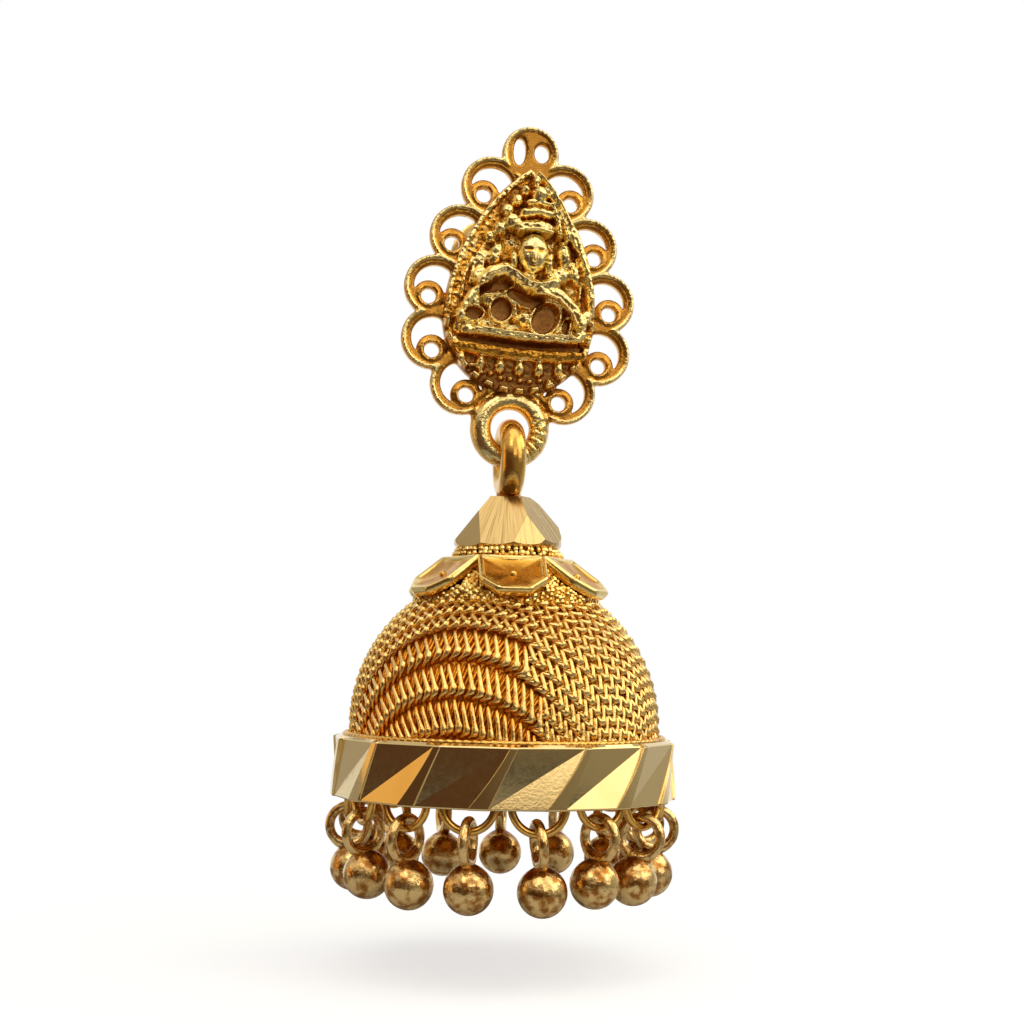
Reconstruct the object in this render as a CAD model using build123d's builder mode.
from build123d import *
import os
from math import acos, cos, degrees, radians, sin

# One hanging bell earring in gold, in millimetres. +Z is up and the front faces -Y.
# The origin is on the ear post's axis, where the post leaves the flat back of the ear plate.

os.makedirs("parts", exist_ok=True)

# Ear plate. Its own flat coordinates are measured from the centre of its hanging ring.
plate_thickness = 1.0
plate_lean = 3.2                    # degrees that the plate's top leans towards +X
post_offset = -0.4                  # ear post to one side of the plate's middle line
post_rise = 13.0                    # ear post above the hanging ring's centre
post_radius = 0.45
post_length = 12.6
ring_radius = 2.28                  # hanging ring, outside
ring_hole_radius = 1.15

# Scallops round the plate's edge, with a small round hole and a crescent in each
scallop_radius = 1.87
top_scallop_radius = 1.72
scallop_opening_radius = 1.36
scallop_hole_radius = 0.52
scallop_hole_shift = 0.76           # round hole from the scallop's centre
scallop_bar = 0.36                  # curved bar between the round hole and the crescent
top_scallop_rise = 16.75
scallop_pairs = [
    {"half_width": 3.10, "rise": 2.45, "hole_turn": -115},
    {"half_width": 5.03, "rise": 5.00, "hole_turn": -90},
    {"half_width": 5.10, "rise": 8.13, "hole_turn": -60},
    {"half_width": 3.83, "rise": 11.35, "hole_turn": -48},
    {"half_width": 2.16, "rise": 14.50, "hole_turn": -48},
]

# Medallion and seated figure, cast in one with the plate
medallion_half_width = 4.55
medallion_bottom = 2.0
medallion_top = 15.8
medallion_flank = (3.62, 11.0)      # a point on the outline between the widest place and the tip
border_width = 0.38
border_height = 0.55
lotus_radius = 3.7
lotus_top = 4.1
lotus_height = 0.6
petal_tooth_count = 7
petal_tooth_step = 0.85
petal_tooth_radii = (0.21, 0.39)
seat_size = (7.4, 0.75)
seat_corner = 0.25
seat_rise = 4.6
seat_height = 0.9
legs_size = (7.2, 1.15)
legs_corner = 0.52
legs_rise = 5.75
legs_height = 1.3
torso_widths = (1.3, 3.0)           # at the waist and at the shoulders
torso_rises = (6.1, 9.6)
torso_height = 1.0
arm_root = 1.0                      # where an arm leaves the torso, to each side
arm_reach = 2.3                     # raised hands to each side of the head
arm_rises = (9.3, 11.4)
arm_radius = 0.42
head_centre = (0.15, 11.0)
head_radius = 0.9
crown_radius = 1.0
crown_tip_radius = 0.25
crown_rise = 3.6

# Screw nut
nut_radius = 2.9
nut_thickness = 2.2
nut_rim = 0.8                       # thickness of the nut's edge, under its domed back
nut_distance = 10.8                 # from the plate's back to the nut's near face
assembly_gap = 0.05                 # between pieces that are assembled and not soldered

# Hanging loop
loop_wire_radius = 0.75
loop_mean_radius = 1.70
loop_drop = 0.15                    # loop's centre below the middle of the ring's lowest bar
stem_bottom = -6.6

# Bell, with heights measured from the hanging ring's centre
cap_top = -4.1
cap_shoulder = -6.9
cap_bottom = -7.5
cap_top_radius = 1.3
cap_radius = 3.2
cap_bow = 0.12                      # how far the cap's flank bows outwards
cap_foot_radius = 2.7
cap_mouth_radius = 1.05             # shallow seat for the loop in the cap's top
cap_mouth_depth = 0.25
cap_facets = 7
cap_facet_turn = -22                # degrees from the front to the first facet
cap_facet_tilt = 39                 # degrees that a facet faces upwards
cap_facet_radius = 1.98             # a facet's distance from the axis at its middle height
cap_facet_rise = -5.3
petal_count = 6
petal_turn = -4                     # degrees from the front to the first petal
petal_width = 3.9
petal_length = 3.6
petal_slope = 35                    # degrees below level
petal_root = (3.25, -7.7)           # radius and height of a petal's inner end
petal_depth = 1.3
petal_rim = 0.32
petal_dish = 0.3
hub_edge = (5.1, -9.2)
dome_radius = 8.97
dome_centre = -17.45
dome_wall = 0.6
dome_mouth_radius = 3.0             # round opening at the dome's top, under the petal cap
band_radius = 10.0
band_top = -18.1
band_bottom = -21.7
band_inner_radius = 9.35
band_flange_inner_radius = 8.35
band_flange_thickness = 0.4
band_sides = 15
band_twist = 9                      # degrees that the facets' upper ends lie further round
band_turn = -9.5                    # degrees from the front to the first facet edge, at the bottom
band_chamfer = (0.45, 0.6)          # inwards and upwards
bead_line = (9.2, 0.16)             # mean radius and wire radius of the bead at the dome's foot

# Drops: an eyelet in the band, a jump ring, and a ball with its eye ring
drop_count = 15
drop_turn = 4                       # degrees from the front to the first drop
drop_circle_radius = 8.95
ball_radius = 1.35
ball_centre = -25.95
eye_mean_radius = 1.1
eye_wire_radius = 0.275
jump_mean_radius = 1.45
jump_wire_radius = 0.22
eyelet_mean_radius = 0.55
eyelet_wire_radius = 0.2
drop_lean = 8                       # degrees that a ball hangs in towards the axis
solder_depth = 0.15                 # how deep an eye ring is sunk into its ball

# The plate's plane: its X and Y are the plate's width and height, and its Z comes forward
lean = radians(plate_lean)
ring_x = -post_offset * cos(lean) - post_rise * sin(lean)
ring_z = post_offset * sin(lean) - post_rise * cos(lean)
plate_plane = Plane(origin=(ring_x, 0, ring_z), x_dir=(cos(lean), 0, -sin(lean)), z_dir=(0, -1, 0))

# The bell hangs plumb under the middle of the hanging ring
bell_centre = Vector(ring_x, -plate_thickness / 2, ring_z)
bell_axis = Axis(bell_centre, (0, 0, 1))
bell_section = Plane(origin=bell_centre, x_dir=(1, 0, 0), z_dir=(0, -1, 0))
bar_middle = -(ring_radius + ring_hole_radius) / 2
loop_centre = bar_middle - loop_drop

# Each drop hangs link by link: ball, eye ring, jump ring, eyelet
eye_centre = ball_centre + ball_radius + eye_mean_radius + eye_wire_radius - solder_depth
link_slack = eye_mean_radius - eye_wire_radius - jump_wire_radius - assembly_gap
jump_centre = eye_centre + link_slack + jump_mean_radius
link_height = jump_centre - jump_mean_radius
eyelet_hole_radius = eyelet_mean_radius - eyelet_wire_radius
eyelet_centre = jump_centre + jump_mean_radius - jump_wire_radius - assembly_gap + eyelet_hole_radius


def level_plane(height):
    """Level plane across the bell's axis, at a height from the hanging ring's centre."""
    return Plane(origin=bell_centre + Vector(0, 0, height))


def outward(turn):
    """Level unit vector away from the bell's axis, turned from the front towards +X."""
    return Vector(sin(radians(turn)), -cos(radians(turn)), 0)


def around(turn):
    """Level unit vector along the bell's rim at that turn."""
    return Vector(cos(radians(turn)), sin(radians(turn)), 0)


def scallop_places():
    """Each scallop's place, turned so that its local X points at its round hole."""
    places = [Location((0, top_scallop_rise), 0)]
    for pair in scallop_pairs:
        places.append(Location((pair["half_width"], pair["rise"]), pair["hole_turn"]))
        places.append(Location((-pair["half_width"], pair["rise"]), 180 - pair["hole_turn"]))
    return places


def make_medallion_face():
    """Teardrop: a round bottom and two bowed flanks that meet in a point."""
    widest = medallion_half_width
    belly = medallion_bottom + medallion_half_width
    with BuildSketch() as face:
        with BuildLine():
            ThreePointArc((-widest, belly), (0, medallion_bottom), (widest, belly))
            ThreePointArc((widest, belly), medallion_flank, (0, medallion_top))
            ThreePointArc((0, medallion_top), (-medallion_flank[0], medallion_flank[1]), (-widest, belly))
        make_face()
    return face.sketch


def make_scallop_openings():
    """A scallop's crescent and round hole, centred on the scallop."""
    with BuildSketch() as openings:
        Circle(scallop_opening_radius)
        with Locations((scallop_hole_shift, 0)):
            Circle(scallop_hole_radius + scallop_bar, mode=Mode.SUBTRACT)
            Circle(scallop_hole_radius)
    return openings.sketch


def make_stud_plate():
    """Plate, medallion, figure, hanging ring and ear post, cast and soldered as one."""
    front = plate_plane.offset(plate_thickness)
    medallion = make_medallion_face()
    openings = make_scallop_openings()
    with BuildPart() as plate:
        with BuildSketch(plate_plane):
            top_place, *side_places = scallop_places()
            with Locations(top_place):
                Circle(top_scallop_radius)
            with Locations(*side_places):
                Circle(scallop_radius)
            with Locations(top_place, *side_places):
                add(openings, mode=Mode.SUBTRACT)
            add(medallion)
            Circle(ring_radius)
            Circle(ring_hole_radius, mode=Mode.SUBTRACT)
        extrude(amount=plate_thickness)

        # Border along the medallion's outline
        with BuildSketch(front):
            add(medallion)
            offset(medallion, amount=-border_width, mode=Mode.SUBTRACT)
        extrude(amount=border_height)

        # Lotus seat: a half round with a row of small teeth, and the slab above it
        with BuildSketch(front):
            with Locations((0, medallion_bottom + medallion_half_width)):
                Circle(lotus_radius)
            with Locations((0, lotus_top)):
                Rectangle(3 * lotus_radius, 3 * lotus_radius, align=(Align.CENTER, Align.MIN),
                          mode=Mode.SUBTRACT)
        extrude(amount=lotus_height)
        with BuildSketch(front.offset(lotus_height)):
            with Locations((0, lotus_top - petal_tooth_step / 2)):
                with GridLocations(petal_tooth_step, 1, petal_tooth_count, 1):
                    Ellipse(*petal_tooth_radii)
        extrude(amount=lotus_height / 2)
        with BuildSketch(front):
            with Locations((0, seat_rise)):
                RectangleRounded(*seat_size, seat_corner)
        extrude(amount=seat_height)

        # Crossed legs, torso and raised arms
        with BuildSketch(front):
            with Locations((0, legs_rise)):
                RectangleRounded(*legs_size, legs_corner)
        extrude(amount=legs_height)
        with BuildSketch(front):
            with BuildLine():
                Polyline((-torso_widths[0] / 2, torso_rises[0]), (torso_widths[0] / 2, torso_rises[0]),
                         (torso_widths[1] / 2, torso_rises[1]), (-torso_widths[1] / 2, torso_rises[1]),
                         close=True)
            make_face()
        extrude(amount=torso_height)
        with BuildSketch(front):
            for side in (1, -1):
                arm_middle = (side * (arm_root + arm_reach) / 2, (arm_rises[0] + arm_rises[1]) / 2)
                SlotCenterPoint(arm_middle, (side * arm_reach, arm_rises[1]), 2 * arm_radius)
        extrude(amount=torso_height)

        # Head and tall crown
        with Locations(front):
            with Locations((*head_centre, head_radius / 2)):
                Sphere(head_radius)
            crown_middle = head_centre[1] + crown_rise / 2 + head_radius / 2
            with Locations((head_centre[0], crown_middle, head_radius / 3)):
                Cone(crown_radius, crown_tip_radius, crown_rise, rotation=(-90, 0, 0))

        # Ear post on the back
        with BuildSketch(Plane.XZ):
            Circle(post_radius)
        extrude(amount=-post_length)
    plate.part.label = "stud_plate"
    export_step(plate.part, "parts/stud_plate.step")


def make_screw_back():
    """Round screw nut with a domed back, closed over the end of the ear post."""
    near = nut_distance
    far = nut_distance + nut_thickness
    bore = post_radius + assembly_gap
    with BuildPart() as nut:
        with BuildSketch(Plane.XY):
            with BuildLine():
                ThreePointArc((-nut_radius, near + nut_rim), (0, far), (nut_radius, near + nut_rim))
                Polyline((nut_radius, near + nut_rim), (nut_radius, near), (-nut_radius, near),
                         (-nut_radius, near + nut_rim))
            make_face()
            split(bisect_by=Plane.YZ, keep=Keep.TOP)
        revolve(axis=Axis.Y)
        with BuildSketch(Plane.XZ.offset(-near)):
            Circle(bore)
        extrude(amount=-(post_length - near + assembly_gap), mode=Mode.SUBTRACT)
    nut.part.label = "screw_back"
    export_step(nut.part, "parts/screw_back.step")


def make_hanging_loop():
    """Thick wire ring across the plate's ring, with a stem down into the faceted cap."""
    with BuildPart() as loop:
        with Locations(level_plane(loop_centre)):
            Torus(loop_mean_radius, loop_wire_radius, rotation=(0, 90, 0))
        with BuildSketch(level_plane(stem_bottom)):
            Circle(loop_wire_radius)
        extrude(amount=loop_centre - loop_mean_radius - stem_bottom)
    loop.part.label = "hanging_loop"
    export_step(loop.part, "parts/hanging_loop.step")


def make_faceted_cap():
    """Cone with a bowed shoulder, cut by a ring of flat facets and bored for the loop's stem."""
    with BuildPart() as cap:
        with BuildSketch(bell_section):
            with BuildLine():
                Line((0, cap_top), (cap_top_radius, cap_top))
                SagittaArc((cap_top_radius, cap_top), (cap_radius, cap_shoulder), cap_bow)
                Line((cap_radius, cap_shoulder), (cap_foot_radius, cap_bottom))
                Line((cap_foot_radius, cap_bottom), (0, cap_bottom))
                Line((0, cap_bottom), (0, cap_top))
            make_face()
        revolve(axis=bell_axis)
        for facet in range(cap_facets):
            away = outward(cap_facet_turn + facet * 360 / cap_facets)
            tilt = radians(cap_facet_tilt)
            face_centre = bell_centre + away * cap_facet_radius + Vector(0, 0, cap_facet_rise)
            face_normal = away * cos(tilt) + Vector(0, 0, sin(tilt))
            split(bisect_by=Plane(origin=face_centre, z_dir=face_normal), keep=Keep.BOTTOM)
        with BuildSketch(level_plane(cap_bottom)):
            Circle(loop_wire_radius + assembly_gap)
        extrude(amount=cap_top - cap_bottom, mode=Mode.SUBTRACT)
        with BuildSketch(level_plane(cap_top)):
            Circle(cap_mouth_radius)
        extrude(amount=-cap_mouth_depth, mode=Mode.SUBTRACT)
    cap.part.label = "faceted_cap"
    export_step(cap.part, "parts/faceted_cap.step")


def make_petal_cap():
    """Hub with six sloping dished petals, hollowed to sit on the dome."""
    with BuildPart() as cap:
        with BuildSketch(bell_section):
            with BuildLine():
                Polyline((loop_wire_radius, cap_bottom - assembly_gap),
                         (petal_root[0], cap_bottom - assembly_gap),
                         hub_edge, (hub_edge[0], hub_edge[1] - petal_depth),
                         (loop_wire_radius, hub_edge[1] - petal_depth), close=True)
            make_face()
        revolve(axis=bell_axis)
        for petal in range(petal_count):
            turn = petal_turn + petal * 360 / petal_count
            slope = radians(petal_slope)
            down = outward(turn) * cos(slope) - Vector(0, 0, sin(slope))
            root = bell_centre + outward(turn) * petal_root[0] + Vector(0, 0, petal_root[1])
            facing = outward(turn) * sin(slope) + Vector(0, 0, cos(slope))
            petal_plane = Plane(origin=root, x_dir=down, z_dir=facing)
            straight = petal_length - petal_width / 2
            with BuildSketch(petal_plane) as outline:
                Rectangle(straight, petal_width, align=(Align.MIN, Align.CENTER))
                with Locations((straight, 0)):
                    Circle(petal_width / 2)
            extrude(amount=-petal_depth)
            with BuildSketch(petal_plane):
                with Locations((straight / 2, 0)):
                    Rectangle(straight, petal_width - 2 * petal_rim)
                with Locations((straight, 0)):
                    Circle(petal_width / 2 - petal_rim)
            extrude(amount=-petal_dish, mode=Mode.SUBTRACT)
            with Locations(petal_plane.offset(-petal_dish)):
                with Locations((straight, 0)):
                    Sphere(petal_rim)
        # The underside follows the dome
        with BuildSketch(bell_section):
            with Locations((0, dome_centre)):
                Circle(dome_radius + assembly_gap)
                Rectangle(dome_radius * 3, dome_radius * 3, align=(Align.MAX, Align.CENTER),
                          mode=Mode.SUBTRACT)
        revolve(axis=bell_axis, mode=Mode.SUBTRACT)
        with BuildSketch(level_plane(cap_bottom)):
            Circle(loop_wire_radius + assembly_gap)
        extrude(amount=2 * hub_edge[1], both=True, mode=Mode.SUBTRACT)
    cap.part.label = "petal_cap"
    export_step(cap.part, "parts/petal_cap.step")


def make_dome():
    """Hollow bell: a half ball on a short straight foot, open at the bottom and at its crown."""
    foot = band_top + assembly_gap
    inner_radius = dome_radius - dome_wall
    outer_sweep = degrees(acos(dome_mouth_radius / dome_radius))
    inner_sweep = degrees(acos(dome_mouth_radius / inner_radius))
    with BuildPart() as dome:
        with BuildSketch(bell_section):
            with BuildLine():
                outside = CenterArc((0, dome_centre), dome_radius, 0, outer_sweep)
                inside = CenterArc((0, dome_centre), inner_radius, 0, inner_sweep)
                Line(outside @ 1, inside @ 1)
                Polyline(outside @ 0, (dome_radius, foot), (inner_radius, foot), inside @ 0)
            make_face()
        revolve(axis=bell_axis)
    dome.part.label = "dome"
    export_step(dome.part, "parts/dome.step")


def make_rim_band():
    """Band with twisted facets, a flange under the dome's foot, and the drops' eyelets inside."""
    height = band_top - band_bottom
    with BuildPart() as band:
        for level, turn in ((band_bottom, band_turn), (band_top, band_turn + band_twist)):
            with BuildSketch(level_plane(level)):
                RegularPolygon(band_radius, band_sides, rotation=turn - 90)
        loft(ruled=True)
        with BuildSketch(level_plane(band_bottom)):
            Circle(band_inner_radius)
        extrude(amount=height - band_flange_thickness, mode=Mode.SUBTRACT)
        with BuildSketch(level_plane(band_bottom)):
            Circle(band_flange_inner_radius)
        extrude(amount=height, mode=Mode.SUBTRACT)
        with BuildSketch(bell_section):
            with BuildLine():
                Polyline((band_radius - band_chamfer[0], band_bottom - assembly_gap),
                         (band_radius - band_chamfer[0], band_bottom),
                         (band_radius + assembly_gap, band_bottom + band_chamfer[1]),
                         (band_radius + assembly_gap, band_bottom - assembly_gap), close=True)
            make_face()
        revolve(axis=bell_axis, mode=Mode.SUBTRACT)
        with Locations(level_plane(band_top)):
            Torus(*bead_line)
        for drop in range(drop_count):
            turn = drop_turn + drop * 360 / drop_count
            centre = bell_centre + outward(turn) * drop_circle_radius + Vector(0, 0, eyelet_centre)
            with Locations(Plane(origin=centre, x_dir=outward(turn), z_dir=around(turn))):
                Torus(eyelet_mean_radius, eyelet_wire_radius)
    band.part.label = "rim_band"
    export_step(band.part, "parts/rim_band.step")


def make_jump_ring(number, turn):
    """Round wire ring that hangs in its eyelet, flat along the rim."""
    centre = bell_centre + outward(turn) * drop_circle_radius + Vector(0, 0, jump_centre)
    with BuildPart() as ring:
        with Locations(Plane(origin=centre, x_dir=around(turn), z_dir=outward(turn))):
            Torus(jump_mean_radius, jump_wire_radius)
    ring.part.label = f"jump_ring_{number:02d}"
    export_step(ring.part, f"parts/jump_ring_{number:02d}.step")


def make_ball_drop(number, turn):
    """Ball with its eye ring soldered on top, hung from the jump ring's lowest point."""
    link = bell_centre + outward(turn) * drop_circle_radius + Vector(0, 0, link_height)
    up = outward(turn) * sin(radians(drop_lean)) + Vector(0, 0, cos(radians(drop_lean)))
    hang = Plane(origin=link, x_dir=around(turn), z_dir=up)
    with BuildPart() as drop:
        with Locations(hang):
            with Locations((0, 0, eye_centre - link_height)):
                Torus(eye_mean_radius, eye_wire_radius, rotation=(0, 90, 0))
            with Locations((0, 0, ball_centre - link_height)):
                Sphere(ball_radius)
    drop.part.label = f"ball_drop_{number:02d}"
    export_step(drop.part, f"parts/ball_drop_{number:02d}.step")


make_stud_plate()
make_screw_back()
make_hanging_loop()
make_faceted_cap()
make_petal_cap()
make_dome()
make_rim_band()
for index in range(drop_count):
    drop_place = drop_turn + index * 360 / drop_count
    make_jump_ring(index + 1, drop_place)
    make_ball_drop(index + 1, drop_place)
